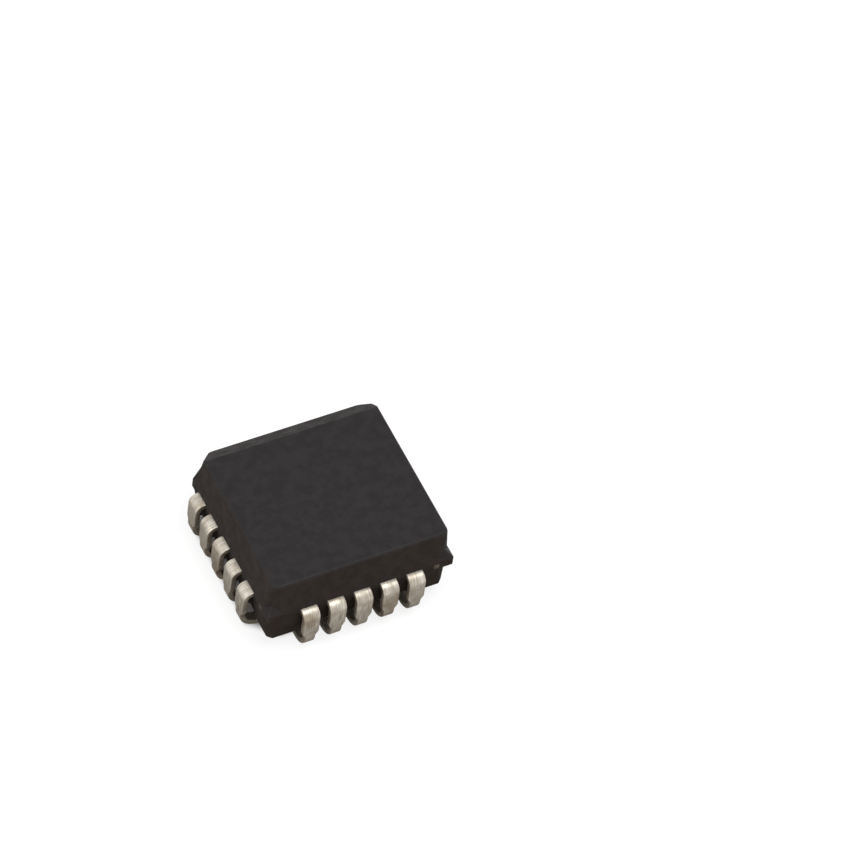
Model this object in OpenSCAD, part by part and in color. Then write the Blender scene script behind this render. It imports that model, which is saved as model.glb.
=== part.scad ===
// Plastic leaded chip carrier: a moulded body on a stamped lead frame, five J leads to a side.
// The die, its bond and its wires are inside. Millimetres, +Z up.
// The origin is the centre of the seating plane that the lead feet stand on.

/* [Lead rows] */
// Number of leads along each side
side_leads = 5; // [4:1:7]
// Distance between the middles of neighbouring leads
pitch = 1.27; // [1.2:0.01:1.34]
// Distance from the middle of the last lead of a row to the wall round the corner
row_end = 1.94; // [1.85:0.01:2.05]

/* [Moulded body] */
// Height of the top face above the seating plane
top_z = 4.45; // [4.25:0.01:4.57]
// Height of the parting plane, which halves the thickness of the lead frame
parting_z = 2.53; // [2.4:0.01:2.7]
// Height of the underside above the seating plane
standoff = 0.68; // [0.55:0.01:0.85]
// Lean of the walls above the parting plane, in degrees
upper_draft = 8.5; // [5:0.5:10]
// Lean of the walls below the parting plane, in degrees
lower_draft = 8; // [5:0.5:10]
// Radius of the edges round the top face
top_edge_r = 0.34; // [0.15:0.01:0.4]
// Radius of the edges round the underside
bottom_edge_r = 0.12; // [0.08:0.02:0.2]
// Legs of the three plain corner chamfers, measured at the parting plane
corner_cut = 0.7; // [0.68:0.01:1]
// Legs of the index chamfer, at the corner of the lead 1 side, measured at the parting plane
index_cut = 1.07; // [1.07:0.01:1.22]
// Legs of the bevel along the top edge of the lead 1 side
bevel = 1.03; // [1:0.01:1.25]

/* [Corner webs] */
// Thickness of the thin web along each corner chamfer at the parting plane
web_t = 0.45; // [0.3:0.05:0.5]
// Height of the ridge by which a web runs out into the chamfer above it
web_ridge = 0.45; // [0.2:0.05:0.6]
// Radius of a web's corners
web_r = 0.08; // [0.06:0.02:0.12]
// Distance of a web's flanks behind the walls beside them
web_inset = 0.02; // [0.01:0.01:0.1]
// Distance by which the web of the index corner stays short of the square corner
index_web_cut = 0.8; // [0.7:0.01:0.9]

/* [Underside] */
// Gap between a lead foot and each side of its pocket
pocket_side_gap = 0.2; // [0.12:0.02:0.25]
// Gap between a lead tip and the round end of its pocket
pocket_end_gap = 0.28; // [0.15:0.02:0.4]
// Gap between a lead tip and the roof of its pocket
pocket_roof_gap = 0.3; // [0.15:0.05:0.5]
// Diameter of the shallow round recess in the middle of the underside
recess_d = 3.4; // [2.6:0.1:4]
// Depth of that recess
recess_depth = 0.08; // [0.04:0.02:0.15]

/* [Leads] */
// Distance that a lead stands out from the wall at the parting plane
lead_stand = 0.45; // [0.42:0.01:0.52]
// Thickness of the lead frame
lead_t = 0.254; // [0.2:0.002:0.3]
// Width of a lead at its shoulder
shoulder_w = 0.78; // [0.66:0.01:0.81]
// Width of a lead at its foot
foot_w = 0.5; // [0.33:0.01:0.53]
// Height at which a lead narrows from its shoulder to its foot
step_z = 1.32; // [1.3:0.01:1.9]
// Height over which it narrows
step_h = 0.26; // [0.1:0.01:0.3]
// Outer radius of the shoulder bend
shoulder_r = 0.44; // [0.32:0.02:0.46]
// Gap between a lead tip and the side of the foot round the corner
tip_gap = 0.175; // [0.1:0.005:0.25]
// Turn of the J bend, in degrees
j_turn = 170; // [150:5:180]

/* [Lead frame inside the body] */
// Gap between the paddle and the tips of the inner leads
finger_gap = 0.6; // [0.5:0.05:0.7]
// Width of an inner lead at its tip
finger_tip_w = 0.4; // [0.3:0.05:0.45]
// Gap between a tie bar and the inner lead tip beside it
tie_gap = 0.54; // [0.4:0.02:0.6]
// Length of the straight root of an inner lead, inside the wall
finger_root = 0.85; // [0.6:0.05:0.95]
// Width of the square paddle that carries the die
paddle_w = 4; // [3.6:0.1:4.4]
// Width of the bars that tie the paddle to the corners
tie_w = 0.36; // [0.25:0.01:0.45]
// Width of the cut end of a bar where it shows on a wall
tie_end_w = 0.26; // [0.2:0.02:0.36]
// Distance between the middles of that cut end and the last lead beside it
tie_stand = 1.08; // [1:0.01:1.15]
// Width of the cut end of the bar that shows on the index chamfer
index_tie_w = 0.8; // [0.6:0.05:0.9]

/* [Die and bond wires] */
// Width of the square die
die_w = 2.6; // [2.2:0.1:3]
// Thickness of the die
die_t = 0.36; // [0.25:0.01:0.5]
// Thickness of the adhesive under the die
attach_t = 0.03; // [0.02:0.01:0.05]
// Width of the adhesive that shows round the die
attach_rim = 0.1; // [0.05:0.01:0.15]
// Distance between the middles of neighbouring bond pads
pad_pitch = 0.42; // [0.3:0.02:0.46]
// Distance of the bond pads from the edge of the die
pad_inset = 0.12; // [0.08:0.01:0.2]
// Diameter of a bond wire
wire_d = 0.033; // [0.025:0.001:0.05]
// Rise of a bond wire above the straight line between its ends
wire_loop = 0.32; // [0.2:0.02:0.4]
// Distance of a wire's outer end from the tip of its inner lead
wire_inset = 0.2; // [0.1:0.02:0.3]

/* [Hidden] */
side_count = 4;
row_leads = round(side_leads);
lead_count = row_leads * side_count;
middle_slot = (row_leads - 1) / 2;
bend_facets = 64;
edge_facets = 32;
sliver = 0.01;
corner_share = 2 - sqrt(2);

row_half = middle_slot * pitch;
half_w = row_half + row_end;
frame_bottom = parting_z - lead_t / 2;
frame_top = parting_z + lead_t / 2;
upper_wall = top_z - top_edge_r - parting_z;
lower_wall = parting_z - bottom_edge_r - standoff;
upper_centre = half_w - upper_wall * tan(upper_draft) - top_edge_r / cos(upper_draft);
lower_centre = half_w - lower_wall * tan(lower_draft) - bottom_edge_r / cos(lower_draft);
upper_lean = half_w - upper_centre - top_edge_r;
lower_lean = half_w - lower_centre - bottom_edge_r;
top_reach = half_w - (top_z - parting_z) * tan(upper_draft);

leg_out = half_w + lead_stand;
shoulder_x = leg_out - shoulder_r;
shoulder_z = frame_top - shoulder_r;
tip_reach = row_half + foot_w / 2 + tip_gap;
j_r = (leg_out - tip_reach) / (1 - cos(j_turn));
j_x = leg_out - j_r;
tip_top = j_r - (j_r - lead_t) * sin(j_turn);
knee_x = half_w - finger_root;
finger_reach = paddle_w / 2 + finger_gap;
finger_tip_pitch = (finger_reach - tie_w / sqrt(2) - tie_gap - finger_tip_w / 2) / middle_slot;

pocket_w = foot_w + 2 * pocket_side_gap;
pocket_end = tip_reach - pocket_end_gap;
pocket_roof = tip_top + pocket_roof_gap;

web_tip = half_w - web_inset - web_r;
index_lean = (index_cut - index_web_cut) / (index_cut + index_web_cut);
index_rise = web_r * sqrt(1 + index_lean * index_lean);
index_end = (2 * web_tip - index_web_cut * (1 + index_lean)) / sqrt(2) + index_rise;
tie_end = row_half + tie_stand;
tie_turn = tie_end - tie_end_w / 2;

attach_top = frame_top + attach_t;
die_top = attach_top + die_t;
wire_rings = 13;
wire_sides = 6;

body_colour = "#363435";
lead_colour = "#c8bfb2";
frame_colour = "#c98f5f";
attach_colour = "#b9b6ae";
die_colour = "#6f7480";
wire_colour = "#d8b04a";

// Leads are counted counter-clockwise from above. Lead 1 is in the middle of the +Y side,
// and the index chamfer is the next corner after it. Corners are counted from +X +Y.
index_corner = 1;
plain_corners = [0, 2, 3];
function lead_place(k) = k - 1 + floor(middle_slot);
function lead_side(k) = floor(lead_place(k) / row_leads) % side_count;
function lead_slot(k) = lead_place(k) % row_leads - middle_slot;
function two_digits(k) = k < 10 ? str("0", k) : str(k);
function lead_name(k) = str("lead_", two_digits(k));
function wire_name(k) = str("wire_", two_digits(k));

// Turns a shape that was drawn on the +X side to the side of lead k
module at_lead(k) {
    rotate([0, 0, 90 * (lead_side(k) + 1)])
        children();
}

// The legs of the four corner chamfers where the walls have leant in by the given amount.
// The plain chamfers stand upright and the index chamfer leans as the walls do.
function corner_legs(lean) = [
    for (corner = [0:side_count - 1])
        corner == index_corner ? index_cut - lean * corner_share : corner_cut - 2 * lean
];

// The two round posts of each corner of a square with chamfered corners, where reach is the
// distance of the posts from the centre lines and legs are the chamfers of the four corners
module corner_posts(reach, legs, r) {
    for (corner = [0:side_count - 1]) {
        along = reach - max(0, legs[corner] - r * corner_share);
        rotate([0, 0, 90 * corner]) {
            translate([reach, along, 0])
                children();
            translate([along, reach, 0])
                children();
        }
    }
}

// A post with one rounded end at the given height, the round end being up or down
module domed_post(r, round_z, up) {
    sense = up ? 1 : -1;
    arc = [for (a = [0:90 / (edge_facets / 4):90]) [r * cos(a), round_z - sense * r * (1 - sin(a))]];
    rotate_extrude($fn = edge_facets)
        polygon(concat(arc, [[0, round_z - sense * r]]));
}

module round_slice(r, z) {
    translate([0, 0, z])
        cylinder(r = r, h = sliver, $fn = edge_facets);
}

// The half above the parting plane, bevelled along the +Y side
module upper_half() {
    difference() {
        hull() {
            corner_posts(half_w - top_edge_r, corner_legs(0), top_edge_r)
                round_slice(top_edge_r, parting_z);
            corner_posts(upper_centre, corner_legs(upper_lean), top_edge_r)
                domed_post(top_edge_r, top_z, true);
        }
        translate([-half_w, top_reach - bevel, top_z])
            rotate([-45, 0, 0])
                cube([2 * half_w, 2 * bevel, 2 * bevel]);
    }
}

module lower_half() {
    hull() {
        corner_posts(half_w - bottom_edge_r, corner_legs(0), bottom_edge_r)
            round_slice(bottom_edge_r, parting_z - sliver);
        corner_posts(lower_centre, corner_legs(lower_lean), bottom_edge_r)
            domed_post(bottom_edge_r, standoff, false);
    }
}

// The web along the chamfer of one corner, with a ridge that runs out in the chamfer above it.
// It squares a plain corner. At the index corner it stays short of that and runs out along the chamfer.
module corner_web(corner) {
    cut = corner == index_corner ? index_cut : corner_cut;
    tip = corner == index_corner ? web_tip - index_web_cut : web_tip;
    end = web_tip - cut;
    ridge = half_w - cut / 2 - 2 * web_r;
    rotate([0, 0, 90 * corner])
        translate([0, 0, parting_z - web_t / 2])
            hull() {
                for (place = [[tip, web_tip], [web_tip, end], [end, web_tip]])
                    translate(place)
                        cylinder(r = web_r, h = web_t, $fn = edge_facets);
                translate([ridge, ridge, 0])
                    cylinder(r = web_r, h = web_t + web_ridge, $fn = edge_facets);
            }
}

// The slot in the underside that a lead foot curls into, open through the wall
module pocket() {
    translate([pocket_end + pocket_w / 2, 0, standoff - sliver])
        cylinder(d = pocket_w, h = pocket_roof - standoff + sliver, $fn = bend_facets);
    translate([pocket_end + pocket_w / 2, -pocket_w / 2, standoff - sliver])
        cube([half_w - pocket_end - pocket_w / 2, pocket_w, pocket_roof - standoff + sliver]);
}

module body() {
    color(body_colour)
        difference() {
            union() {
                upper_half();
                lower_half();
                for (corner = [0:side_count - 1])
                    corner_web(corner);
            }
            for (k = [1:lead_count]) {
                at_lead(k)
                    translate([0, lead_slot(k) * pitch, 0])
                        pocket();
                lead(k);
                wire(k);
            }
            die_paddle();
            die_attach();
            die();
            translate([0, 0, standoff - sliver])
                cylinder(d = recess_d, h = recess_depth + sliver, $fn = bend_facets);
        }
}

// One bend of a lead, drawn in the XZ plane about its own centre from angle 0 to turn
module lead_bend(r, w, turn) {
    rotate([90 * sign(turn), 0, 0])
        rotate_extrude(angle = abs(turn), $fn = bend_facets)
            translate([r - lead_t, -w / 2])
                square([lead_t, w]);
}

// The flat of a lead: its finger inside the body and its way out through the wall
module lead_flat(slot) {
    tip = slot * finger_tip_pitch;
    root = slot * pitch;
    half_root = shoulder_w / 2;
    half_tip = finger_tip_w / 2;
    tip_x = finger_reach - shoulder_x;
    root_x = knee_x - shoulder_x;
    translate([shoulder_x, 0, frame_bottom])
        linear_extrude(lead_t)
            polygon([
                [tip_x, tip - half_tip],
                [root_x, root - half_root],
                [0, root - half_root],
                [0, root + half_root],
                [root_x, root + half_root],
                [tip_x, tip + half_tip]
            ]);
}

// Stands a flat outline up as a strip on the outer face of the leads, from the given height
module lead_strip(z) {
    translate([leg_out, 0, z])
        rotate([90, 0, -90])
            linear_extrude(lead_t)
                children();
}

// The upright of a lead: the wide shoulder with its tapered end, and the foot that runs down from it
module lead_upright() {
    half_shoulder = shoulder_w / 2;
    half_foot = foot_w / 2;
    step = step_z - shoulder_z;
    lead_strip(shoulder_z)
        polygon([
            [-half_shoulder, 0],
            [-half_shoulder, step],
            [-half_foot, step - step_h],
            [half_foot, step - step_h],
            [half_shoulder, step],
            [half_shoulder, 0]
        ]);
    lead_strip(j_r)
        translate([-half_foot, 0])
            square([foot_w, shoulder_z - j_r]);
}

module lead(k) {
    slot = lead_slot(k);
    color(lead_colour)
        at_lead(k) {
            lead_flat(slot);
            translate([0, slot * pitch, 0]) {
                translate([shoulder_x, 0, shoulder_z])
                    lead_bend(shoulder_r, shoulder_w, 90);
                lead_upright();
                translate([j_x, 0, j_r])
                    lead_bend(j_r, foot_w, -j_turn);
            }
        }
}

// A bar from the paddle to a plain corner, which turns to end on the wall before it
module tie_bar(corner) {
    rotate(90 * corner) {
        rotate(45)
            translate([0, -tie_w / 2])
                square([tie_turn * sqrt(2), tie_w]);
        translate([tie_turn - tie_w / 2, tie_end - tie_end_w / 2])
            square([half_w - tie_turn + tie_w / 2, tie_end_w]);
    }
}

// The bar from the paddle to the web of the index chamfer, wider where it ends flush with the web
module index_tie_bar() {
    slant = index_lean * index_tie_w / 2;
    rotate(45 + 90 * index_corner)
        polygon([
            [0, -tie_w / 2],
            [index_end - index_tie_w, -tie_w / 2],
            [index_end - index_tie_w / 2, -index_tie_w / 2],
            [index_end - slant, -index_tie_w / 2],
            [index_end + slant, index_tie_w / 2],
            [index_end - index_tie_w / 2, index_tie_w / 2],
            [index_end - index_tie_w, tie_w / 2],
            [0, tie_w / 2]
        ]);
}

module die_paddle() {
    color(frame_colour)
        translate([0, 0, frame_bottom])
            linear_extrude(lead_t) {
                square(paddle_w, center = true);
                index_tie_bar();
                for (corner = plain_corners)
                    tie_bar(corner);
            }
}

module die_attach() {
    side = die_w + 2 * attach_rim;
    color(attach_colour)
        translate([-side / 2, -side / 2, frame_top])
            cube([side, side, attach_t]);
}

module die() {
    color(die_colour)
        translate([-die_w / 2, -die_w / 2, attach_top])
            cube([die_w, die_w, die_t]);
}

// A wire leaves its pad upright, arches over in one vertical plane and meets its lead upright
function wire_point(q, start, finish) =
    let (along = (1 - cos(180 * q)) / 2)
    start + (finish - start) * along + [0, 0, wire_loop * sin(180 * q)];
function wire_heading(q, start, finish) =
    let (v = (finish - start) * sin(180 * q) / 2 + [0, 0, wire_loop * cos(180 * q)])
    v / norm(v);

module wire(k) {
    slot = lead_slot(k);
    bond = wire_inset / (knee_x - finger_reach);
    start = [die_w / 2 - pad_inset, slot * pad_pitch, die_top];
    finish = [
        finger_reach + wire_inset,
        slot * (finger_tip_pitch + (pitch - finger_tip_pitch) * bond),
        frame_top
    ];
    flat = [finish.x - start.x, finish.y - start.y, 0];
    across = [-flat.y, flat.x, 0] / norm(flat);
    points = [
        for (ring = [0:wire_rings - 1], side = [0:wire_sides - 1])
            let (
                q = ring / (wire_rings - 1),
                turn = 360 * side / wire_sides,
                upward = cross(across, wire_heading(q, start, finish))
            )
            wire_point(q, start, finish) + wire_d / 2 * (cos(turn) * across + sin(turn) * upward)
    ];
    skin = [
        for (ring = [0:wire_rings - 2], side = [0:wire_sides - 1])
            let (
                a = ring * wire_sides + side,
                b = ring * wire_sides + (side + 1) % wire_sides,
                c = b + wire_sides,
                d = a + wire_sides
            )
            each [[a, b, c], [a, c, d]]
    ];
    first_cap = [for (side = [wire_sides - 1:-1:0]) side];
    last_cap = [for (side = [0:wire_sides - 1]) (wire_rings - 1) * wire_sides + side];
    color(wire_colour)
        at_lead(k)
            polyhedron(points = points, faces = concat(skin, [first_cap, last_cap]));
}

body();
die_paddle();
die_attach();
die();
for (k = [1:lead_count]) {
    lead(k);
    wire(k);
}
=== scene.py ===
"""Looks of a plastic leaded chip carrier: a matte moulded body on a plated lead frame with J leads.

Pieces are modelled in millimetres, in the frame of the CAD part (+Z up, the lead feet on z = 0), and
their meshes are scaled to metres when they are finished.
"""

import logging
import math
from dataclasses import dataclass, field
from enum import Enum
from functools import cache
from statistics import fmean
from typing import Iterable, Protocol, Sequence

import bmesh
import bpy
from mathutils import Matrix, Vector


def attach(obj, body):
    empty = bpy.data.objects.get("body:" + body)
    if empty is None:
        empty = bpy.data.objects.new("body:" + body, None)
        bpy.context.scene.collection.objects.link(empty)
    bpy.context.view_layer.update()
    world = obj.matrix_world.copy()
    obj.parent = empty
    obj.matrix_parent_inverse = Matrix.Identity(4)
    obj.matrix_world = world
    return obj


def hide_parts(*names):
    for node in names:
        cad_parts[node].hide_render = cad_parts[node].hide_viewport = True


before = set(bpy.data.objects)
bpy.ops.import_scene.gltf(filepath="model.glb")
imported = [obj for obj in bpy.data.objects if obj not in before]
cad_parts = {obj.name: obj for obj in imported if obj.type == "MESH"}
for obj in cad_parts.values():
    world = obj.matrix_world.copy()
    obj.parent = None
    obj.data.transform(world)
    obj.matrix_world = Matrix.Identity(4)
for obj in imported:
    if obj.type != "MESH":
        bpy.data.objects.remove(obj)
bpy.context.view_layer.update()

MM = 0.001
TO_METRES = Matrix.Scale(MM, 4)
TO_MILLIMETRES = Matrix.Scale(1.0 / MM, 4)
WELD = 1e-5
FLAT_BELOW = 0.5
QUARTER = 90.0
CORNER_SHARE = 2 - math.sqrt(2)
UP = Vector((0.0, 0.0, 1.0))
ROOT = "root"
STRIP_WAY = "strip_way"
WORN_EDGE = "worn_edge"
WHITE = (1.0, 1.0, 1.0, 1.0)
FULL = (0.0, 1.0)
NOISE_MIDDLE = (0.3, 0.7)
# The colour sockets of a mix node, which shares their names among its data types
MIX_COLOURS = (6, 7)
MIX_RESULT = 2

Colour = tuple[float, float, float]
Span = tuple[float, float]
log = logging.getLogger("chip_carrier")


class Slot(Enum):
    """The material slots of the record."""

    MOULDING = "moulding_compound"
    PLATE = "tin_plate"
    LEAD_FRAME = "lead_frame"
    ADHESIVE = "die_adhesive"
    SILICON = "silicon"
    WIRE = "bond_wire"


class Side(Enum):
    """The four sides, in the order in which the leads are counted, each by its angle from +X."""

    BACK = 90.0
    LEFT = 180.0
    FRONT = 270.0
    RIGHT = 360.0

    @property
    def turn(self) -> Matrix:
        """The turn about the upright axis that takes the +X side to this side."""
        return Matrix.Rotation(math.radians(self.value), 4, "Z")


class Corner(Enum):
    """The four upright corners, each by the angle from +X at which it points."""

    BACK_RIGHT = 45.0
    INDEX = 135.0
    FRONT_LEFT = 225.0
    FRONT_RIGHT = 315.0

    @property
    def turn(self) -> Matrix:
        """The turn about the upright axis that takes the +X +Y corner to this corner."""
        return Matrix.Rotation(math.radians(self.value - Corner.BACK_RIGHT.value), 4, "Z")


def level(degrees: float) -> Vector:
    """The level direction at an angle from +X, counted counter-clockwise from above."""
    angle = math.radians(degrees)
    return Vector((math.cos(angle), math.sin(angle), 0.0))


def tipped(outward: Vector, degrees: float) -> Vector:
    """A level direction tipped up by an angle, or down where the angle is negative."""
    angle = math.radians(degrees)
    return outward * math.cos(angle) + UP * math.sin(angle)


def linear(hex_colour: str) -> Colour:
    """The linear colour of a written one.

    Args:
        hex_colour: Six hex digits, two each for red, green and blue as a screen shows them.

    Returns:
        The three linear values.
    """
    shares = (int(hex_colour[i : i + 2], 16) / 255 for i in (0, 2, 4))
    return tuple(s / 12.92 if s <= 0.04045 else ((s + 0.055) / 1.055) ** 2.4 for s in shares)


class Wiring:
    """A material's node tree while its finish is wired up, on object coordinates."""

    def __init__(self, name: str) -> None:
        """Starts a material with a plain surface shader.

        Args:
            name: The material's name.
        """
        self.material = bpy.data.materials.new(name)
        self.material.use_nodes = True
        self.tree = self.material.node_tree
        self.surface = self.tree.nodes["Principled BSDF"]
        self.place = self.add("ShaderNodeTexCoord").outputs["Object"]

    def add(self, kind: str) -> bpy.types.Node:
        """Adds one node of the given kind."""
        return self.tree.nodes.new(kind)

    def link(self, source: bpy.types.NodeSocket, target: bpy.types.NodeSocket) -> None:
        """Joins an output to an input."""
        self.tree.links.new(source, target)

    def noise(
        self,
        grain: float,
        detail: float = 2.0,
        stretch: tuple[float, float, float] = (1.0, 1.0, 1.0),
        place: bpy.types.NodeSocket | None = None,
    ) -> bpy.types.NodeSocket:
        """Adds a soft noise.

        Args:
            grain: The size of one grain, in millimetres.
            detail: How many finer layers lie on the first.
            stretch: How many times longer a grain is along each axis.
            place: What it is laid out on, if not on object coordinates.

        Returns:
            The noise, about 0.5 on average.
        """
        mapping = self.add("ShaderNodeMapping")
        mapping.inputs["Scale"].default_value = [1.0 / (grain * MM * s) for s in stretch]
        self.link(place or self.place, mapping.inputs["Vector"])
        noise = self.add("ShaderNodeTexNoise")
        noise.inputs["Scale"].default_value = 1.0
        noise.inputs["Detail"].default_value = detail
        self.link(mapping.outputs["Vector"], noise.inputs["Vector"])
        return noise.outputs["Fac"]

    def spread(self, source: bpy.types.NodeSocket, within: Span, onto: Span) -> bpy.types.NodeSocket:
        """Maps one range of a value smoothly onto another.

        Args:
            source: The value.
            within: The range of it that counts.
            onto: What the ends of that range become.

        Returns:
            The mapped value.
        """
        ranged = self.add("ShaderNodeMapRange")
        ranged.interpolation_type = "SMOOTHSTEP"
        ranged.inputs["From Min"].default_value, ranged.inputs["From Max"].default_value = within
        ranged.inputs["To Min"].default_value, ranged.inputs["To Max"].default_value = onto
        self.link(source, ranged.inputs["Value"])
        return ranged.outputs["Result"]

    def blend(
        self,
        share: bpy.types.NodeSocket,
        first: Colour | bpy.types.NodeSocket,
        second: Colour | bpy.types.NodeSocket,
    ) -> bpy.types.NodeSocket:
        """Blends two colours.

        Args:
            share: The share of the second colour.
            first: A colour, or an output that gives one.
            second: A colour, or an output that gives one.

        Returns:
            The blended colour.
        """
        mix = self.add("ShaderNodeMix")
        mix.data_type = "RGBA"
        self.link(share, mix.inputs["Factor"])
        for colour, index in zip((first, second), MIX_COLOURS):
            if isinstance(colour, tuple):
                mix.inputs[index].default_value = (*colour, 1.0)
            else:
                self.link(colour, mix.inputs[index])
        return mix.outputs[MIX_RESULT]

    def join(
        self, operation: str, first: bpy.types.NodeSocket, second: bpy.types.NodeSocket
    ) -> bpy.types.NodeSocket:
        """Joins two values.

        Args:
            operation: How they are joined, such as MAXIMUM.
            first: The first value.
            second: The second value.

        Returns:
            The joined value.
        """
        total = self.add("ShaderNodeMath")
        total.operation = operation
        self.link(first, total.inputs[0])
        self.link(second, total.inputs[1])
        return total.outputs["Value"]

    def relief(self, *layers: tuple[bpy.types.NodeSocket, float]) -> None:
        """Raises the surface by layers of relief.

        Args:
            layers: A height and the depth in millimetres that it spans, for each layer.
        """
        normal = None
        for height, depth in layers:
            bump = self.add("ShaderNodeBump")
            bump.inputs["Distance"].default_value = depth * MM
            self.link(height, bump.inputs["Height"])
            if normal is not None:
                self.link(normal, bump.inputs["Normal"])
            normal = bump.outputs["Normal"]
        self.link(normal, self.surface.inputs["Normal"])

    def set(self, **values: float) -> None:
        """Sets sockets of the surface, which are named here with _ for a space."""
        for name, value in values.items():
            self.surface.inputs[name.replace("_", " ")].default_value = value


class Finish(Protocol):
    """What a piece is dressed in."""

    slot: Slot

    def material(self) -> bpy.types.Material:
        """Makes the finish's material."""


@dataclass(frozen=True)
class MouldedEpoxy:
    """Matte charcoal moulding compound with a fine sparked grain and faint mottling."""

    slot: Slot = Slot.MOULDING
    dark: Colour = linear("322f30")
    light: Colour = linear("373435")
    fleck: Colour = linear("3f3c3c")
    mottle: float = 0.55
    mottle_range: Span = (0.35, 0.65)
    grain: float = 0.07
    grain_depth: float = 0.006
    fleck_size: float = 0.112
    fleck_range: Span = (0.62, 0.78)
    fleck_share: float = 0.55
    waviness: float = 0.3
    waviness_depth: float = 0.002
    roughness: Span = (0.72, 0.62)
    edge_gloss: float = 0.36
    specular: float = 0.06

    def material(self) -> bpy.types.Material:
        """Makes the finish's material.

        Returns:
            The material.
        """
        w = Wiring("moulded_epoxy")
        grain = w.noise(self.grain, detail=3.0)
        mottle = w.spread(w.noise(self.mottle, detail=4.0), self.mottle_range, FULL)
        ground = w.blend(mottle, self.dark, self.light)
        flecks = w.spread(w.noise(self.fleck_size, detail=1.0), self.fleck_range, (0.0, self.fleck_share))
        w.link(w.blend(flecks, ground, self.fleck), w.surface.inputs["Base Color"])
        worn = w.add("ShaderNodeAttribute")
        worn.attribute_name = WORN_EDGE
        gloss = w.spread(worn.outputs["Fac"], FULL, (0.0, self.edge_gloss))
        roughness = w.join("SUBTRACT", w.spread(mottle, FULL, self.roughness), gloss)
        w.link(roughness, w.surface.inputs["Roughness"])
        w.set(Specular_IOR_Level=self.specular)
        w.relief((w.noise(self.waviness), self.waviness_depth), (grain, self.grain_depth))
        return w.material


@dataclass(frozen=True)
class TinPlate:
    """Dull tin plate with drawn streaks, grey handling marks and warm stains."""

    slot: Slot = Slot.PLATE
    bright: Colour = linear("d6cfc3")
    dull: Colour = linear("a39a8c")
    stain: Colour = linear("8f7d66")
    streak: float = 0.05
    streak_length: float = 14.0
    streak_range: Span = (0.38, 0.66)
    streak_share: float = 0.8
    streak_depth: float = 0.004
    patch: float = 0.5
    patch_range: Span = (0.42, 0.7)
    patch_share: float = 0.6
    patch_depth: float = 0.012
    stain_patch: float = 0.9
    stain_range: Span = (0.52, 0.74)
    stain_share: float = 0.6
    roughness: Span = (0.36, 0.52)
    metallic: float = 0.85

    def material(self) -> bpy.types.Material:
        """Makes the finish's material.

        Returns:
            The material.
        """
        w = Wiring("tin_plate")
        way = w.add("ShaderNodeAttribute")
        way.attribute_name = STRIP_WAY
        stretch = (1.0, self.streak_length, 1.0)
        streaks = w.noise(self.streak, stretch=stretch, place=way.outputs["Vector"])
        patches = w.noise(self.patch, detail=3.0)
        marks = w.spread(streaks, self.streak_range, (0.0, self.streak_share))
        plate = w.blend(marks, self.bright, self.dull)
        dulled = w.spread(patches, self.patch_range, (0.0, self.patch_share))
        worn = w.blend(dulled, plate, self.dull)
        stains = w.spread(w.noise(self.stain_patch), self.stain_range, (0.0, self.stain_share))
        w.link(w.blend(stains, worn, self.stain), w.surface.inputs["Base Color"])
        w.link(w.spread(patches, NOISE_MIDDLE, self.roughness), w.surface.inputs["Roughness"])
        w.set(Metallic=self.metallic)
        w.relief((patches, self.patch_depth), (streaks, self.streak_depth))
        return w.material


@dataclass(frozen=True)
class BareMetal:
    """A rolled or drawn metal with fine lines along one axis."""

    name: str
    slot: Slot
    bright: Colour
    dull: Colour
    roughness: Span
    grain: float = 0.05
    line_length: float = 12.0
    line_depth: float = 0.002
    patch_grains: float = 10.0

    def material(self) -> bpy.types.Material:
        """Makes the finish's material.

        Returns:
            The material.
        """
        w = Wiring(self.name)
        lines = w.noise(self.grain, stretch=(self.line_length, 1.0, 1.0))
        patches = w.noise(self.grain * self.patch_grains, detail=3.0)
        dulled = w.spread(patches, NOISE_MIDDLE, FULL)
        w.link(w.blend(dulled, self.bright, self.dull), w.surface.inputs["Base Color"])
        w.link(w.spread(lines, NOISE_MIDDLE, self.roughness), w.surface.inputs["Roughness"])
        w.set(Metallic=1.0)
        w.relief((lines, self.line_depth))
        return w.material


@dataclass(frozen=True)
class SilverPaste:
    """The grainy grey adhesive under the die."""

    slot: Slot = Slot.ADHESIVE
    pale: Colour = linear("b9b6ae")
    dark: Colour = linear("7f7c76")
    grain: float = 0.03
    grain_depth: float = 0.006
    flake_range: Span = (0.35, 0.65)
    roughness: Span = (0.55, 0.35)
    metallic: float = 0.6

    def material(self) -> bpy.types.Material:
        """Makes the finish's material.

        Returns:
            The material.
        """
        w = Wiring("silver_paste")
        flakes = w.noise(self.grain, detail=4.0)
        share = w.spread(flakes, self.flake_range, FULL)
        w.link(w.blend(share, self.dark, self.pale), w.surface.inputs["Base Color"])
        w.link(w.spread(flakes, NOISE_MIDDLE, self.roughness), w.surface.inputs["Roughness"])
        w.set(Metallic=self.metallic)
        w.relief((flakes, self.grain_depth))
        return w.material


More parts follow.
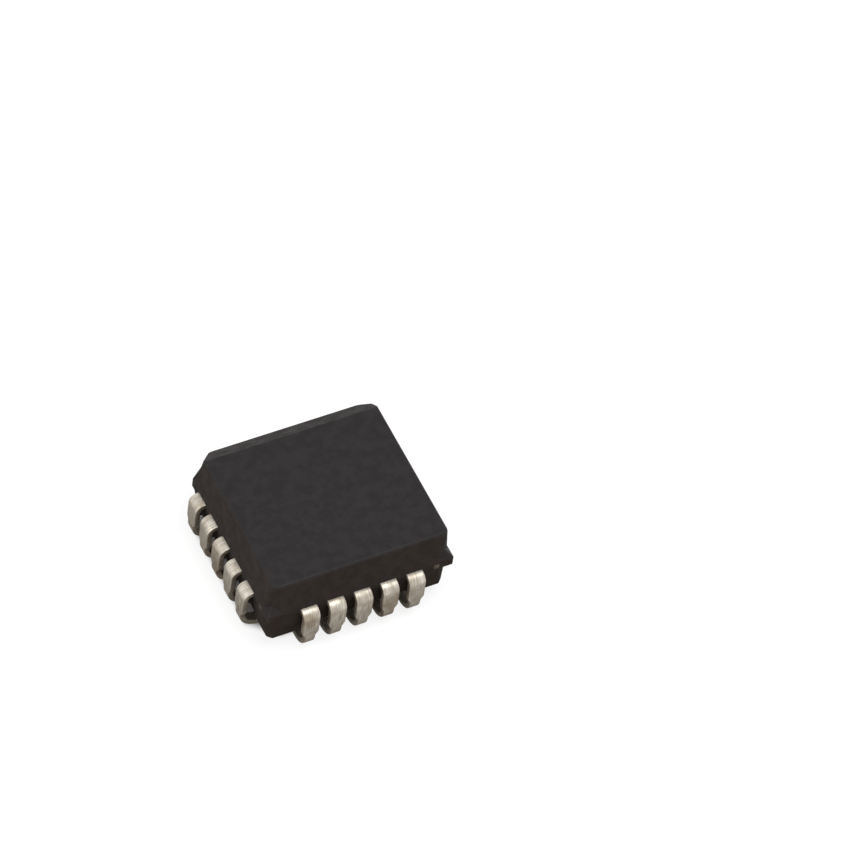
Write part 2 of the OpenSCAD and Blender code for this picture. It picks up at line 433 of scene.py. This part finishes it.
@dataclass(frozen=True)
class PolishedSilicon:
    """The die: blue-grey silicon with a faint grid of circuit blocks."""

    slot: Slot = Slot.SILICON
    ground: Colour = linear("4d5361")
    block: Colour = linear("7d8497")
    block_size: float = 0.12
    block_range: Span = (0.2, 0.6)
    block_depth: float = 0.001
    roughness: Span = (0.18, 0.3)
    metallic: float = 0.5

    def material(self) -> bpy.types.Material:
        """Makes the finish's material.

        Returns:
            The material.
        """
        w = Wiring("polished_silicon")
        blocks = w.add("ShaderNodeTexVoronoi")
        blocks.distance = "CHEBYCHEV"
        blocks.inputs["Scale"].default_value = 1.0 / (self.block_size * MM)
        w.link(w.place, blocks.inputs["Vector"])
        share = w.spread(blocks.outputs["Distance"], self.block_range, FULL)
        w.link(w.blend(share, self.block, self.ground), w.surface.inputs["Base Color"])
        w.link(w.spread(share, FULL, self.roughness), w.surface.inputs["Roughness"])
        w.set(Metallic=self.metallic)
        w.relief((share, self.block_depth))
        return w.material


@cache
def material_of(finish: Finish) -> bpy.types.Material:
    """The one material of a finish, made when it is first asked for."""
    return finish.material()


def scratch_object(name: str, bm: bmesh.types.BMesh) -> bpy.types.Object:
    """Moves a bmesh into a new object of the scene.

    Args:
        name: The name of the object and of its mesh.
        bm: The bmesh, which is freed.

    Returns:
        The object.
    """
    mesh = bpy.data.meshes.new(name)
    bm.to_mesh(mesh)
    bm.free()
    made = bpy.data.objects.new(name, mesh)
    bpy.context.scene.collection.objects.link(made)
    return made


def finish_piece(piece: bpy.types.Object, finish: Finish, smooth_below: float, stands_for: str) -> None:
    """Scales a piece to metres, shades it, dresses it and sets it on the frame.

    Args:
        piece: The piece, modelled in millimetres.
        finish: What it is dressed in.
        smooth_below: Edges that turn by less than this angle, in degrees, are shaded smooth.
        stands_for: The CAD node that it stands for.
    """
    piece.data.transform(TO_METRES)
    piece.data.shade_smooth()
    piece.data.set_sharp_from_angle(angle=math.radians(smooth_below))
    flatten = piece.modifiers.new("flat_faces", "WEIGHTED_NORMAL")
    flatten.keep_sharp = True
    piece.data.materials.clear()
    piece.data.materials.append(material_of(finish))
    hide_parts(stands_for)
    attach(piece, ROOT)


def trim(bm: bmesh.types.BMesh, point: Vector, normal: Vector) -> list[bmesh.types.BMEdge]:
    """Cuts off what lies beyond a plane and closes the cut with one face.

    Args:
        bm: The closed mesh that is cut.
        point: A point of the plane.
        normal: The direction of the side that goes.

    Returns:
        The edges round the cut.
    """
    everything = [*bm.verts, *bm.edges, *bm.faces]
    cut = bmesh.ops.bisect_plane(
        bm, geom=everything, dist=WELD, plane_co=point, plane_no=normal, clear_outer=True
    )
    rim = [g for g in cut["geom_cut"] if isinstance(g, bmesh.types.BMEdge)]
    bmesh.ops.edgeloop_fill(bm, edges=rim)
    return rim


def wrap(bm: bmesh.types.BMesh) -> None:
    """Wraps a mesh's points in their convex hull and drops the rest.

    Args:
        bm: The mesh.
    """
    bmesh.ops.remove_doubles(bm, verts=bm.verts, dist=WELD)
    bmesh.ops.convex_hull(bm, input=bm.verts)
    bmesh.ops.delete(bm, geom=[v for v in bm.verts if not v.link_faces], context="VERTS")
    bmesh.ops.delete(bm, geom=[e for e in bm.edges if not e.link_faces], context="EDGES")
    bmesh.ops.dissolve_limit(bm, angle_limit=math.radians(FLAT_BELOW), verts=bm.verts, edges=bm.edges)
    bmesh.ops.recalc_face_normals(bm, faces=bm.faces)


def grow(bm: bmesh.types.BMesh, face: bmesh.types.BMFace) -> bmesh.types.BMFace:
    """Extrudes one face, in place, and returns the face at the new end."""
    grown = bmesh.ops.extrude_face_region(bm, geom=[face, *face.edges, *face.verts])
    return next(g for g in grown["geom"] if isinstance(g, bmesh.types.BMFace))


def round_off(bm: bmesh.types.BMesh, edges: list[bmesh.types.BMEdge], offset: float, faces: int) -> None:
    """Rounds edges.

    Args:
        bm: The mesh.
        edges: Its edges to round.
        offset: How far from the old edge the round starts.
        faces: The number of faces across it.
    """
    bmesh.ops.bevel(
        bm,
        geom=edges,
        offset=offset,
        offset_type="OFFSET",
        segments=faces,
        profile=0.5,
        affect="EDGES",
        material=-1,
    )


@dataclass(frozen=True)
class Package:
    """The sizes that the body and the leads share, in millimetres."""

    row_leads: int = 5
    pitch: float = 1.27
    half_width: float = 4.48
    parting_z: float = 2.53
    strip: float = 0.254
    foot_width: float = 0.5

    @property
    def numbers(self) -> range:
        """The numbers of the leads, counted round all four sides."""
        return range(1, self.row_leads * len(Side) + 1)

    def side(self, lead: int) -> Side:
        """The side that a lead is on; lead 1 is in the middle of the back."""
        return list(Side)[(lead - 1 + self.row_leads // 2) // self.row_leads % len(Side)]

    def place(self, lead: int) -> int:
        """The place of a lead in its row, counted from the middle."""
        return (lead - 1 + self.row_leads // 2) % self.row_leads - self.row_leads // 2


@dataclass(frozen=True)
class Half:
    """One half of the body, from the parting plane to its level face, in millimetres and degrees."""

    end_z: float
    draft: float
    corner_radius: float
    edge_radius: float


@dataclass
class MouldedBody:
    """The moulded body: two drafted halves, corner webs, the underside's pockets and recess."""

    package: Package
    finish: Finish = MouldedEpoxy()
    upper: Half = Half(end_z=4.45, draft=8.5, corner_radius=0.34, edge_radius=0.15)
    lower: Half = Half(end_z=0.68, draft=8.0, corner_radius=0.12, edge_radius=0.12)
    corner_cut: float = 0.7
    index_cut: float = 1.07
    bevel: float = 1.03
    bevel_tilt: float = 45.0
    bevel_radius: float = 0.04
    bevel_faces: int = 3
    web_thickness: float = 0.45
    web_ridge: float = 0.45
    web_radius: float = 0.08
    web_inset: float = 0.02
    index_web_cut: float = 0.8
    pocket_side_gap: float = 0.2
    pocket_end: float = 2.685
    pocket_roof: float = 1.162
    rim: float = 0.03
    recess_radius: float = 1.7
    recess_depth: float = 0.08
    overshoot: float = 0.3
    round_faces: int = 40
    dome_rings: int = 8
    smooth_below: float = 16.0
    worn_tilt: Span = (0.2, 0.999)
    worn_back: float = 0.2

    def legs(self, corner: Corner, lean: float) -> float:
        """How long the legs of a corner's chamfer are.

        Args:
            corner: The corner.
            lean: How far the walls have leant in.

        Returns:
            The length of one leg.
        """
        if corner is Corner.INDEX:
            return self.index_cut - lean * CORNER_SHARE
        return self.corner_cut - 2 * lean

    def circles(self, bm: bmesh.types.BMesh, shape: Half, lean: float, shrink: float, z: float) -> None:
        """Lays a circle round each of the two posts that every corner is rounded on.

        Args:
            bm: The mesh that they are added to.
            shape: The half that the posts belong to.
            lean: How far the walls have leant in.
            shrink: How much smaller than the posts the circles are.
            z: Their height.
        """
        radius = shape.corner_radius - shrink
        reach = self.package.half_width - lean - shape.corner_radius
        for corner in Corner:
            apart = self.legs(corner, lean) - shape.corner_radius * CORNER_SHARE
            along = reach - max(0.0, apart)
            for x, y in ((reach, along), (along, reach)):
                spot = corner.turn @ Matrix.Translation((x, y, z))
                bmesh.ops.create_circle(bm, segments=self.round_faces, radius=radius, matrix=spot)

    def half(self, shape: Half) -> bmesh.types.BMesh:
        """Makes one half of the body, from the parting plane to its level face.

        Args:
            shape: Its sizes.

        Returns:
            The half as one closed hull.
        """
        rise = shape.end_z - self.package.parting_z
        sense = math.copysign(1.0, rise)
        draft = math.radians(shape.draft)
        edge = shape.edge_radius
        lean = (abs(rise) - edge) * math.tan(draft) + edge / math.cos(draft) - edge
        bm = bmesh.new()
        self.circles(bm, shape, 0.0, 0.0, self.package.parting_z)
        for ring in range(self.dome_rings + 1):
            angle = math.radians(QUARTER * ring / self.dome_rings)
            z = shape.end_z - sense * edge * (1 - math.sin(angle))
            self.circles(bm, shape, lean, edge * (1 - math.cos(angle)), z)
        wrap(bm)
        return bm

    def upper_half(self) -> bmesh.types.BMesh:
        """Makes the upper half and bevels the top edge of the back.

        Returns:
            The half as one closed mesh.
        """
        top = self.upper
        bm = self.half(top)
        drop = top.end_z - self.package.parting_z
        reach = self.package.half_width - drop * math.tan(math.radians(top.draft))
        edge = Vector((0.0, reach - self.bevel, top.end_z))
        rim = trim(bm, edge, tipped(level(Side.BACK.value), self.bevel_tilt))
        turn = fmean(e.calc_face_angle() for e in rim)
        round_off(bm, rim, self.bevel_radius * math.tan(turn / 2), self.bevel_faces)
        bmesh.ops.recalc_face_normals(bm, faces=bm.faces)
        return bm

    def web(self, corner: Corner) -> bmesh.types.BMesh:
        """Makes the thin web along a corner's chamfer, with the ridge that runs out above it.

        Args:
            corner: The corner, which the web squares, or stays short of at the index.

        Returns:
            The web as one closed hull.
        """
        p = self.package
        at_index = corner is Corner.INDEX
        cut = self.index_cut if at_index else self.corner_cut
        short = self.index_web_cut if at_index else 0.0
        reach = p.half_width - self.web_inset - self.web_radius
        end = reach - cut
        ridge = p.half_width - cut / 2 - 2 * self.web_radius
        low = p.parting_z - self.web_thickness / 2
        high = low + self.web_thickness
        flat = ((reach - short, reach), (reach, end), (end, reach))
        posts = [(x, y, z) for x, y in flat for z in (low, high)]
        posts += [(ridge, ridge, low), (ridge, ridge, high + self.web_ridge)]
        bm = bmesh.new()
        for post in posts:
            spot = corner.turn @ Matrix.Translation(post)
            bmesh.ops.create_circle(bm, segments=self.round_faces // 2, radius=self.web_radius, matrix=spot)
        wrap(bm)
        return bm

    def pockets(self, side: Side) -> bmesh.types.BMesh:
        """Makes the cutters of one side's pockets, each a slot with a round end and a broken rim.

        Args:
            side: The side whose pockets they are.

        Returns:
            The cutters.
        """
        p = self.package
        radius = p.foot_width / 2 + self.pocket_side_gap
        middle = self.pocket_end + radius
        low = self.lower.end_z - self.overshoot
        bm = bmesh.new()
        for place in range(-(p.row_leads // 2), p.row_leads // 2 + 1):
            spot = side.turn @ Matrix.Translation((middle, place * p.pitch, low))
            mouth = bmesh.ops.create_circle(
                bm, cap_ends=True, segments=self.round_faces, radius=radius + self.rim, matrix=spot
            )
            outer = [v for v in mouth["verts"] if (spot.inverted() @ v.co).x > WELD]
            reach = side.turn @ Vector((p.half_width - middle + self.overshoot, 0.0, 0.0))
            bmesh.ops.translate(bm, verts=outer, vec=reach)
            self.sink(bm, mouth["verts"][0].link_faces[0], self.pocket_roof)
        bmesh.ops.recalc_face_normals(bm, faces=bm.faces)
        return bm

    def recess(self) -> bmesh.types.BMesh:
        """Makes the cutter of the shallow round recess in the underside.

        Returns:
            The cutter.
        """
        radius = self.recess_radius + self.rim
        spot = Matrix.Translation((0.0, 0.0, self.lower.end_z - self.overshoot))
        bm = bmesh.new()
        mouth = bmesh.ops.create_circle(
            bm, cap_ends=True, segments=2 * self.round_faces, radius=radius, matrix=spot
        )
        self.sink(bm, mouth["verts"][0].link_faces[0], self.lower.end_z + self.recess_depth)
        bmesh.ops.recalc_face_normals(bm, faces=bm.faces)
        return bm

    def sink(self, bm: bmesh.types.BMesh, mouth: bmesh.types.BMFace, roof: float) -> None:
        """Raises a cutter from its mouth below the underside to its roof, with a broken rim.

        Args:
            bm: The cutter's mesh.
            mouth: The level face that it starts from.
            roof: The height at which it ends.
        """
        lip = self.lift(bm, mouth, self.overshoot)
        if lip.normal.z < 0:
            lip.normal_flip()
        bmesh.ops.inset_region(bm, faces=[lip], thickness=self.rim, depth=self.rim, use_even_offset=True)
        self.lift(bm, lip, roof - self.lower.end_z - self.rim)

    def lift(self, bm: bmesh.types.BMesh, face: bmesh.types.BMFace, rise: float) -> bmesh.types.BMFace:
        """Extrudes a face straight up.

        Args:
            bm: The face's mesh.
            face: The face.
            rise: How far it goes up.

        Returns:
            The face at the new end.
        """
        end = grow(bm, face)
        bmesh.ops.translate(bm, verts=end.verts, vec=UP * rise)
        end.normal_update()
        return end

    def inserts(self, names: Iterable[str]) -> bmesh.types.BMesh:
        """Copies CAD nodes that the compound was moulded round.

        Args:
            names: The nodes.

        Returns:
            Their merged meshes in millimetres.
        """
        bm = bmesh.new()
        for name in names:
            bm.from_mesh(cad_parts[name].data)
        bmesh.ops.transform(bm, matrix=TO_MILLIMETRES, verts=bm.verts)
        bmesh.ops.remove_doubles(bm, verts=bm.verts, dist=WELD)
        return bm

    def paddle(self) -> bmesh.types.BMesh:
        """Copies the die paddle and draws its index tie bar out, so that no wall hides the bar's cut end.

        Returns:
            The cutter.
        """
        bm = self.inserts(["die_paddle"])
        outward = Corner.INDEX.turn @ Vector((1.0, 1.0, 0.0)).normalized()
        wall = (2 * self.package.half_width - self.index_cut) / math.sqrt(2)
        cut_end = [v for v in bm.verts if v.co.dot(outward) > wall - self.overshoot]
        bmesh.ops.translate(bm, verts=cut_end, vec=outward * self.rim)
        return bm

    def mark_worn_edges(self, mesh: bpy.types.Mesh) -> None:
        """Marks the smoother faces: the round of the top edge, but not by the bevel, and the webs' tops.

        Args:
            mesh: The body's mesh in millimetres.
        """
        worn = mesh.attributes.new(WORN_EDGE, "FLOAT", "FACE")
        top_round = self.upper.end_z - self.upper.edge_radius
        web_top = self.package.parting_z + self.web_thickness / 2 + self.web_ridge
        steepest, flattest = self.worn_tilt
        for face in mesh.polygons:
            height = face.center.z
            tilted = steepest < face.normal.z < flattest
            on_round = height > top_round and face.normal.y < self.worn_back
            on_web = self.package.parting_z < height < web_top
            worn.data[face.index].value = float(tilted and (on_round or on_web))

    def build(self) -> bpy.types.Object:
        """Makes the body's piece and sets it on the frame.

        Returns:
            The piece.
        """
        numbers = self.package.numbers
        shapes = [("lower_half", self.half(self.lower), "UNION")]
        shapes += [(f"web_{corner.name}", self.web(corner), "UNION") for corner in Corner]
        shapes += [(f"pockets_{side.name}", self.pockets(side), "DIFFERENCE") for side in Side]
        shapes += [
            ("recess", self.recess(), "DIFFERENCE"),
            ("leads", self.inserts(f"lead_{n:02d}" for n in numbers), "DIFFERENCE"),
            ("wires", self.inserts(f"wire_{n:02d}" for n in numbers), "DIFFERENCE"),
            ("die_paddle", self.paddle(), "DIFFERENCE"),
            ("die_attach", self.inserts(["die_attach"]), "DIFFERENCE"),
            ("die", self.inserts(["die"]), "DIFFERENCE"),
        ]
        blank = scratch_object("body_blank", self.upper_half())
        cutters = []
        for name, shape, operation in shapes:
            cutter = scratch_object(f"cutter_{name}", shape)
            join = blank.modifiers.new(name, "BOOLEAN")
            join.operation = operation
            join.solver = "MANIFOLD"
            join.object = cutter
            cutters.append(cutter)
        shaped = blank.evaluated_get(bpy.context.evaluated_depsgraph_get())
        piece = bpy.data.objects.new("moulded_body", bpy.data.meshes.new_from_object(shaped))
        bpy.context.scene.collection.objects.link(piece)
        for scratch in (blank, *cutters):
            bpy.data.objects.remove(scratch)
        self.mark_worn_edges(piece.data)
        finish_piece(piece, self.finish, self.smooth_below, "body")
        return piece


class Strip:
    """A strip of lead frame that grows from its end face, run by run and bend by bend."""

    def __init__(self, width: float, thickness: float, start: Vector) -> None:
        """Starts a strip that faces +X.

        Args:
            width: Its width along Y.
            thickness: Its thickness along Z.
            start: The middle of its first end.
        """
        self.bm = bmesh.new()
        stand = Matrix.Rotation(math.radians(QUARTER), 4, "Y")
        section = Matrix.Diagonal((thickness, width, 1.0, 1.0))
        spot = Matrix.Translation(start) @ stand @ section
        bmesh.ops.create_grid(self.bm, x_segments=1, y_segments=1, size=0.5, matrix=spot)
        self.bm.faces.ensure_lookup_table()
        self.end = self.bm.faces[0]

    def run(self, way: Vector, widen: float = 1.0) -> None:
        """Runs straight on.

        Args:
            way: How far, and which way.
            widen: The new width as a multiple of the old one.
        """
        self.end = grow(self.bm, self.end)
        about = Matrix.Translation(-self.end.calc_center_median())
        bmesh.ops.scale(self.bm, verts=self.end.verts, vec=(1.0, widen, 1.0), space=about)
        bmesh.ops.translate(self.bm, verts=self.end.verts, vec=way)

    def bend(self, centre: Vector, degrees: float, steps: int) -> None:
        """Bends on about an axis along Y.

        Args:
            centre: A point of the axis.
            degrees: The turn, from +X down towards -Z.
            steps: The number of faces round the bend.
        """
        turned = bmesh.ops.spin(
            self.bm,
            geom=[self.end, *self.end.edges, *self.end.verts],
            cent=centre,
            axis=(0.0, 1.0, 0.0),
            angle=math.radians(degrees),
            steps=steps,
            use_merge=False,
            use_duplicate=False,
        )
        self.end = next(g for g in turned["geom_last"] if isinstance(g, bmesh.types.BMFace))


@dataclass
class JLead:
    """One J lead: its finger in the body, the shoulder bend, the stepped upright and the J foot."""

    package: Package
    number: int
    finish: Finish
    stand: float = 0.45
    shoulder_width: float = 0.78
    shoulder_radius: float = 0.44
    shoulder_faces: int = 10
    step_z: float = 1.32
    step_height: float = 0.26
    tip_gap: float = 0.175
    j_turn: float = 170.0
    j_faces: int = 20
    finger_reach: float = 2.6
    finger_root: float = 0.85
    finger_width: float = 0.4
    finger_pitch: float = 0.8
    edge_radius: float = 0.035
    edge_faces: int = 3
    sharp_above: float = 30.0
    smooth_below: float = 40.0

    @property
    def j_radius(self) -> float:
        """The outer radius of the J bend, which ends a gap short of the foot round the corner.

        Returns:
            The radius in millimetres.
        """
        p = self.package
        tip_reach = (p.row_leads // 2) * p.pitch + p.foot_width / 2 + self.tip_gap
        return (p.half_width + self.stand - tip_reach) / (1 - math.cos(math.radians(self.j_turn)))

    @property
    def shoulder_centre(self) -> Vector:
        """The middle of the shoulder bend.

        Returns:
            The point, in the middle of the row on the +X side.
        """
        p = self.package
        top = p.parting_z + p.strip / 2
        return Vector((p.half_width + self.stand - self.shoulder_radius, 0.0, top - self.shoulder_radius))

    @property
    def foot_centre(self) -> Vector:
        """The middle of the J bend."""
        return Vector((self.package.half_width + self.stand - self.j_radius, 0.0, self.j_radius))

    def way_along(self, spot: Vector) -> float:
        """How far along the strip a point lies, from the start of the shoulder bend.

        Args:
            spot: A point of the strip on the +X side.

        Returns:
            The distance, which is negative on the finger.
        """
        shoulder, foot = self.shoulder_centre, self.foot_centre
        if spot.z >= shoulder.z and spot.x <= shoulder.x:
            return spot.x - shoulder.x
        if spot.z >= shoulder.z:
            return self.shoulder_radius * math.atan2(spot.x - shoulder.x, spot.z - shoulder.z)
        upright = self.shoulder_radius * math.pi / 2 + shoulder.z - max(spot.z, foot.z)
        if spot.z >= foot.z:
            return upright
        return upright + self.j_radius * math.atan2(foot.z - spot.z, spot.x - foot.x)

    def mark_way(self, bm: bmesh.types.BMesh) -> None:
        """Marks each point of the strip with its place across and along it, in metres, for the streaks.

        Args:
            bm: The strip on the +X side, in millimetres.
        """
        way = bm.verts.layers.float_vector.new(STRIP_WAY)
        first = self.number * self.package.pitch
        for vert in bm.verts:
            vert[way] = Vector((first + vert.co.y, self.way_along(vert.co), 0.0)) * MM

    def strip(self) -> bmesh.types.BMesh:
        """Bends the lead's strip on the +X side, in the middle of the row.

        Returns:
            The strip in millimetres, with its edges rounded.
        """
        p = self.package
        shoulder, foot = self.shoulder_centre, self.foot_centre
        fan = p.place(self.number) * (self.finger_pitch - p.pitch)
        knee = p.half_width - self.finger_root
        lead = Strip(self.finger_width, p.strip, Vector((self.finger_reach, fan, p.parting_z)))
        lead.run(Vector((knee - self.finger_reach, -fan, 0.0)), self.shoulder_width / self.finger_width)
        lead.run(Vector((shoulder.x - knee, 0.0, 0.0)))
        lead.bend(shoulder, QUARTER, self.shoulder_faces)
        lead.run(UP * (self.step_z - shoulder.z))
        lead.run(UP * -self.step_height, p.foot_width / self.shoulder_width)
        lead.run(UP * (foot.z + self.step_height - self.step_z))
        lead.bend(foot, self.j_turn, self.j_faces)
        bmesh.ops.recalc_face_normals(lead.bm, faces=lead.bm.faces)
        sharp = [e for e in lead.bm.edges if e.calc_face_angle() > math.radians(self.sharp_above)]
        round_off(lead.bm, sharp, self.edge_radius, self.edge_faces)
        self.mark_way(lead.bm)
        return lead.bm

    def build(self) -> bpy.types.Object:
        """Makes the lead's piece and sets it on the frame.

        Returns:
            The piece.
        """
        bm = self.strip()
        along = self.package.place(self.number) * self.package.pitch
        spot = self.package.side(self.number).turn @ Matrix.Translation((0.0, along, 0.0))
        bmesh.ops.transform(bm, matrix=spot, verts=bm.verts)
        piece = scratch_object(f"j_lead_{self.number:02d}", bm)
        finish_piece(piece, self.finish, self.smooth_below, f"lead_{self.number:02d}")
        return piece


@dataclass
class Inside:
    """The parts moulded into the body, which keep their CAD meshes."""

    package: Package
    paddle: Finish = BareMetal(
        "lead_frame_copper", Slot.LEAD_FRAME, linear("6b6058"), linear("574c43"), (0.5, 0.7)
    )
    adhesive: Finish = SilverPaste()
    die: Finish = PolishedSilicon()
    wire: Finish = BareMetal(
        "gold_wire", Slot.WIRE, linear("e3bd58"), linear("cfa240"), (0.2, 0.3), grain=0.01
    )

    def dress(self) -> list[bpy.types.Object]:
        """Dresses each node in its finish.

        Returns:
            The nodes.
        """
        finishes = {"die_paddle": self.paddle, "die_attach": self.adhesive, "die": self.die}
        finishes |= {f"wire_{number:02d}": self.wire for number in self.package.numbers}
        for name, finish in finishes.items():
            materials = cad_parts[name].data.materials
            materials.clear()
            materials.append(material_of(finish))
        return [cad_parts[name] for name in finishes]


@dataclass(frozen=True)
class SoftBox:
    """A square soft lamp, in metres and watts."""

    name: str
    place: Vector
    side: float
    watts: float

    def hang(self) -> None:
        """Hangs the lamp so that it faces the object."""
        lamp = bpy.data.lights.new(self.name, "AREA")
        lamp.size = self.side
        lamp.energy = self.watts
        hung = bpy.data.objects.new(self.name, lamp)
        hung.location = self.place
        hung.rotation_euler = (-self.place).to_track_quat("-Z", "Y").to_euler()
        bpy.context.scene.collection.objects.link(hung)
        log.info("%s: %.2f W", self.name, self.watts)


def rays(tree: bpy.types.NodeTree, *kinds: str) -> bpy.types.NodeSocket:
    """Wires up what is 1 for rays of the given kinds, and else 0.

    Args:
        tree: The node tree that it is wired up in.
        kinds: The kinds, such as Camera or Glossy.

    Returns:
        The value.
    """
    path = tree.nodes.new("ShaderNodeLightPath")
    first, *others = (path.outputs[f"Is {kind} Ray"] for kind in kinds)
    for other in others:
        either = tree.nodes.new("ShaderNodeMath")
        either.operation = "MAXIMUM"
        tree.links.new(first, either.inputs[0])
        tree.links.new(other, either.inputs[1])
        first = either.outputs["Value"]
    return first


@dataclass
class Studio:
    """The white table and the light round it."""

    floor_half: float = 0.3
    floor_white: Colour = (0.3, 0.3, 0.3)
    floor_bounce: Colour = (0.7, 0.44, 0.12)
    floor_glow: float = 0.8
    # The octagon under the object inside which the floor's white glow is held back, as a painted contact
    # shadow; it sits off-centre towards the back, where the shadow falls, and spreads wider where metal
    # mirrors the floor.
    shade_middle: Vector = field(default_factory=lambda: Vector((-0.05, 0.3, 0.0)))
    shade_half: Vector = field(default_factory=lambda: Vector((4.45, 4.05, 1.0)))
    shade_corner: float = 0.58
    shade_edge: Span = (0.93, 1.05)
    mirrored_shadow_edge: Span = (1.05, 2.7)
    ambient: float = 0.43
    lamps: Sequence[SoftBox] = field(
        default_factory=lambda: (
            SoftBox("overhead_box", Vector((0.05, -0.05, 0.30)), 0.2, 0.42),
            SoftBox("left_box", Vector((-0.26, -0.02, 0.15)), 0.2, 0.28),
        )
    )

    def painted_shadow_reach(self, w: Wiring) -> bpy.types.NodeSocket:
        """Wires up how far out a point of the floor lies from under the object, for the painted shadow
        there.

        Args:
            w: The floor's wiring.

        Returns:
            The distance, which is 1 on the edge of an octagon under the object.
        """
        mapping = w.add("ShaderNodeMapping")
        mapping.vector_type = "TEXTURE"
        mapping.inputs["Location"].default_value = self.shade_middle * MM
        mapping.inputs["Scale"].default_value = self.shade_half * MM
        w.link(w.place, mapping.inputs["Vector"])
        apart = w.add("ShaderNodeVectorMath")
        apart.operation = "ABSOLUTE"
        w.link(mapping.outputs["Vector"], apart.inputs[0])
        axes = w.add("ShaderNodeSeparateXYZ")
        w.link(apart.outputs["Vector"], axes.inputs["Vector"])
        slanted = w.add("ShaderNodeVectorMath")
        slanted.operation = "DOT_PRODUCT"
        slanted.inputs[1].default_value = (self.shade_corner, self.shade_corner, 0.0)
        w.link(apart.outputs["Vector"], slanted.inputs[0])
        straight = w.join("MAXIMUM", axes.outputs["X"], axes.outputs["Y"])
        return w.join("MAXIMUM", straight, slanted.outputs["Value"])

    def open_from_below(self, w: Wiring) -> None:
        """Lets the floor be seen through from below.

        Args:
            w: The floor's wiring.
        """
        either = w.add("ShaderNodeMixShader")
        w.link(w.add("ShaderNodeNewGeometry").outputs["Backfacing"], either.inputs["Fac"])
        w.link(w.surface.outputs["BSDF"], either.inputs[1])
        w.link(w.add("ShaderNodeBsdfTransparent").outputs["BSDF"], either.inputs[2])
        w.link(either.outputs["Shader"], w.tree.nodes["Material Output"].inputs["Surface"])

    def lay_floor(self) -> None:
        """Lays the floor, which keeps the shadow, glows white outside an octagon under the object, where
        the missing glow is a painted shadow, and throws back warm light.
        """
        bm = bmesh.new()
        bmesh.ops.create_grid(bm, x_segments=1, y_segments=1, size=self.floor_half)
        floor = scratch_object("floor", bm)
        w = Wiring("white_table")
        w.set(Roughness=0.9, Specular_IOR_Level=0.0)
        tint = w.blend(rays(w.tree, "Diffuse"), self.floor_white, self.floor_bounce)
        w.link(tint, w.surface.inputs["Base Color"])
        w.surface.inputs["Emission Color"].default_value = WHITE
        painted_shadow_reach = self.painted_shadow_reach(w)
        # The glow fades out under the object as painted shadow: crisply where the camera sees the floor,
        # and over a wider ring where metal mirrors it.
        crisp = w.spread(painted_shadow_reach, self.shade_edge, (0.0, self.floor_glow))
        soft = w.spread(painted_shadow_reach, self.mirrored_shadow_edge, (0.0, self.floor_glow))
        seen = w.join("MULTIPLY", crisp, rays(w.tree, "Camera"))
        mirrored = w.join("MULTIPLY", soft, rays(w.tree, "Glossy", "Transmission"))
        w.link(w.join("MAXIMUM", seen, mirrored), w.surface.inputs["Emission Strength"])
        self.open_from_below(w)
        floor.data.materials.append(w.material)

    def light_room(self) -> None:
        """Lights the room: white where it is seen, a soft level light where it lights the object."""
        world = bpy.data.worlds.new("white_room")
        bpy.context.scene.world = world
        world.use_nodes = True
        tree = world.node_tree
        ranged = tree.nodes.new("ShaderNodeMapRange")
        ranged.inputs["To Min"].default_value = self.ambient
        ranged.inputs["To Max"].default_value = 1.0
        tree.links.new(rays(tree, "Camera", "Glossy", "Transmission"), ranged.inputs["Value"])
        background = tree.nodes["Background"]
        background.inputs["Color"].default_value = WHITE
        tree.links.new(ranged.outputs["Result"], background.inputs["Strength"])

    def build(self) -> None:
        """Lays the floor, lights the room and hangs the lamps."""
        self.lay_floor()
        self.light_room()
        for lamp in self.lamps:
            lamp.hang()
        bpy.context.scene.view_settings.view_transform = "Standard"


@dataclass(frozen=True)
class Viewpoint:
    """The camera, at the photograph's viewing angle."""

    azimuth: float = -31.25
    elevation: float = 53.4
    roll: float = 7.95
    distance: float = 263.3
    focal_pixels: float = 6000.0
    picture: float = 850.0
    aim: Vector = field(default_factory=lambda: Vector((0.0, 0.0, 2.2)))
    aim_pixel: Span = (317.95, 518.45)
    sensor: float = 36.0
    near_clip: float = 0.01

    def place(self) -> None:
        """Sets up the camera so that the aim point falls on its pixel."""
        roll = math.radians(self.roll)
        right = level(self.azimuth)
        back = tipped(level(self.azimuth - QUARTER), self.elevation)
        up = back.cross(right)
        rolled_right = right * math.cos(roll) + up * math.sin(roll)
        rolled_up = up * math.cos(roll) - right * math.sin(roll)
        facing = Matrix((rolled_right, rolled_up, back)).transposed()
        half = self.picture / 2
        across, down = self.aim_pixel
        sight = Vector((across - half, half - down, -self.focal_pixels))
        swing = sight.rotation_difference(-UP).to_matrix()
        camera = bpy.data.objects.new("photo_camera", bpy.data.cameras.new("photo_camera"))
        camera.data.sensor_width = self.sensor
        camera.data.lens = self.focal_pixels / self.picture * self.sensor
        camera.data.clip_start = self.near_clip
        stand = Matrix.Translation((self.aim + back * self.distance) * MM)
        camera.matrix_world = stand @ (facing @ swing).to_4x4()
        bpy.context.scene.collection.objects.link(camera)
        bpy.context.scene.camera = camera
        log.info("camera: %.0f mm lens at %.0f mm", camera.data.lens, self.distance)


def main() -> None:
    """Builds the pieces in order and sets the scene."""
    logging.basicConfig(level=logging.INFO, format="%(message)s")
    package = Package()
    plate = TinPlate()
    pieces = [MouldedBody(package).build()]
    pieces += [JLead(package, number, plate).build() for number in package.numbers]
    pieces += Inside(package).dress()
    for piece in pieces:
        log.info("%s: %d faces in %s", piece.name, len(piece.data.polygons), piece.data.materials[0].name)
    Studio().build()
    Viewpoint().place()


if __name__ == "__main__":
    main()
